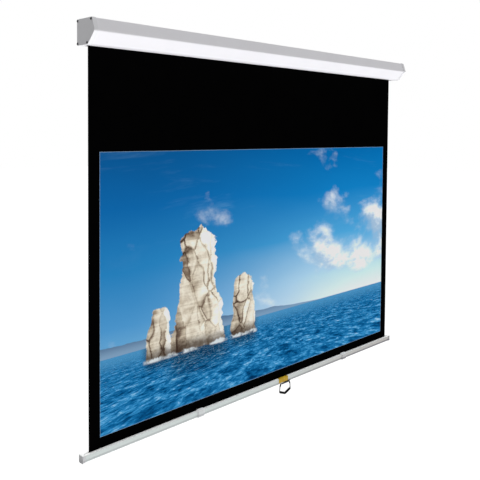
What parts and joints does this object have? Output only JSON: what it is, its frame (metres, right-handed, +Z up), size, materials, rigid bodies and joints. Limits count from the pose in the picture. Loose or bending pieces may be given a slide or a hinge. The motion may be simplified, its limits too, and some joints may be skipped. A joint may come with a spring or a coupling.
{
  "type": "pull down projector screen",
  "caption": "Manual projector screen: a cloth with a black border pulled down from a long casing by a ring on its bottom bar, winding back onto a sprung roller.",
  "frame": {"origin": "the middle of the casing's flat back face, halfway up it and halfway along it, on the wall", "axes": "+X along the casing to the right of someone who looks at the picture, +Y into the wall, +Z up; the picture faces -Y"},
  "size_m": [1.9572, 0.1061, 1.5891],
  "materials": {
    "white_paint": "satin white paint on sheet metal",
    "grey_plastic": "light grey with a fine moulded grain",
    "dark_screw": "blackened steel",
    "zinc_steel": "zinc plated",
    "steel": "bright turned steel",
    "spring_steel": "oiled spring wire",
    "nylon": "natural nylon",
    "black_plastic": "satin black moulding",
    "black_wire": "glossy black coating on steel wire",
    "black_border": "matt black screen cloth",
    "screen_cloth": null,
    "pale_aluminium": "satin anodised extrusion",
    "grey_rubber": "matt soft plastic",
    "ochre_sticker": "bare printed film"
  },
  "bodies": {
    "casing": {"casing_shell": "white_paint", "left_end_cap": "grey_plastic", "right_end_cap": "grey_plastic", "left_bearing_plate": "zinc_steel", "right_bearing_plate": "zinc_steel", "left_cap_screw_1": "dark_screw", "left_cap_screw_2": "dark_screw", "left_cap_screw_3": "dark_screw", "left_cap_screw_4": "dark_screw", "right_cap_screw_1": "dark_screw", "right_cap_screw_2": "dark_screw", "right_cap_screw_3": "dark_screw", "right_cap_screw_4": "dark_screw", "idler_bush": "nylon", "spring_spindle": "steel", "spring_anchor": "zinc_steel", "torsion_spring": "spring_steel", "lock_disc": "steel", "screen_fabric": "screen_cloth"},
    "roller": {"roller_tube": "zinc_steel", "fabric_roll": "black_border", "idler_plug": "nylon", "idler_pin": "steel", "spring_plug": "nylon", "lock_head": "black_plastic", "pawl_pin": "steel"},
    "pawl": {"lock_pawl": "steel"},
    "bar": {"bottom_bar": "pale_aluminium", "left_bar_cap": "grey_plastic", "right_bar_cap": "grey_plastic", "left_bumper": "grey_rubber", "right_bumper": "grey_rubber", "hem_rod": "steel", "fabric_hem": "black_border", "handle_bracket": "black_plastic", "bracket_screw_1": "dark_screw", "bracket_screw_2": "dark_screw", "bar_sticker": "ochre_sticker"},
    "ring": {"pull_ring": "black_wire"}
  },
  "joints": [
    {"name": "bar_lift", "type": "slide", "parent": "casing", "child": "bar", "axis": [0, 0, 1], "range_m": [0, 1.4097], "deforming": ["screen_fabric"]},
    {"name": "roller_turn", "type": "hinge", "parent": "casing", "child": "roller", "pos_m": [0, -0.0409, 0], "axis": [1, 0, 0], "range_deg": [0, 3781]},
    {"name": "pawl_swing", "type": "hinge", "parent": "roller", "child": "pawl", "pos_m": [0.9608, -0.05295, 0.00487], "axis": [1, 0, 0], "range_deg": [0, 25]},
    {"name": "ring_swing", "type": "hinge", "parent": "bar", "child": "ring", "pos_m": [0.103, -0.0202, -1.4889], "axis": [1, 0, 0], "range_deg": [-90, 90]}
  ],
  "couplings": [
    {"joint": "roller_turn", "follows": "bar_lift", "rad_per_m": 46.8}
  ]
}
